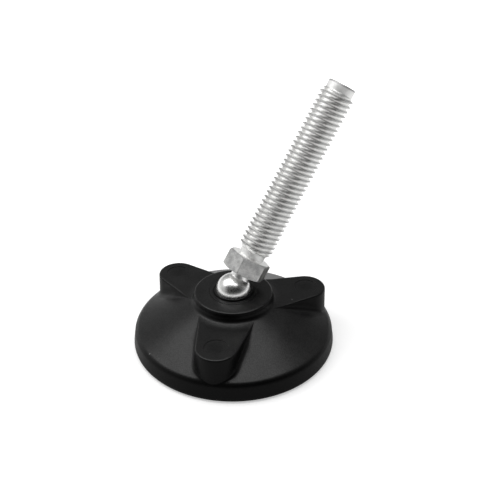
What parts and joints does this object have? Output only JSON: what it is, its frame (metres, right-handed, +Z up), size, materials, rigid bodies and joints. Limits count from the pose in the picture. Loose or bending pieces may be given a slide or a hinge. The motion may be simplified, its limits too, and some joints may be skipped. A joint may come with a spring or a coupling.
{
  "type": "levelling foot",
  "caption": "Levelling foot: a round plastic base with fixing lugs and a raised collar, holding a threaded steel stud on a swivelling ball joint.",
  "frame": {"origin": "centre of the base's floor face", "axes": "+Z up out of the floor, -Y along one of the fixing lugs"},
  "size_m": [0.082, 0.0821, 0.1025],
  "materials": {
    "black_plastic": "fine moulded grain, satin",
    "seat_plastic": "smooth moulded, satin",
    "zinc_steel": "bright zinc plate on turned steel"
  },
  "bodies": {
    "base": {"base": "black_plastic"},
    "seat": {"ball_seat": "seat_plastic"},
    "stud": {"ball_stud": "zinc_steel"}
  },
  "joints": [
    {"name": "stud_swivel", "type": "hinge", "parent": "base", "child": "seat", "pos_m": [0, 0, 0.0239], "axis": [0, 0, 1], "continuous": true},
    {"name": "stud_tilt", "type": "hinge", "parent": "seat", "child": "stud", "pos_m": [0, 0, 0.0239], "axis": [-0.7071, 0.7071, 0], "range_deg": [-74, 6]}
  ]
}
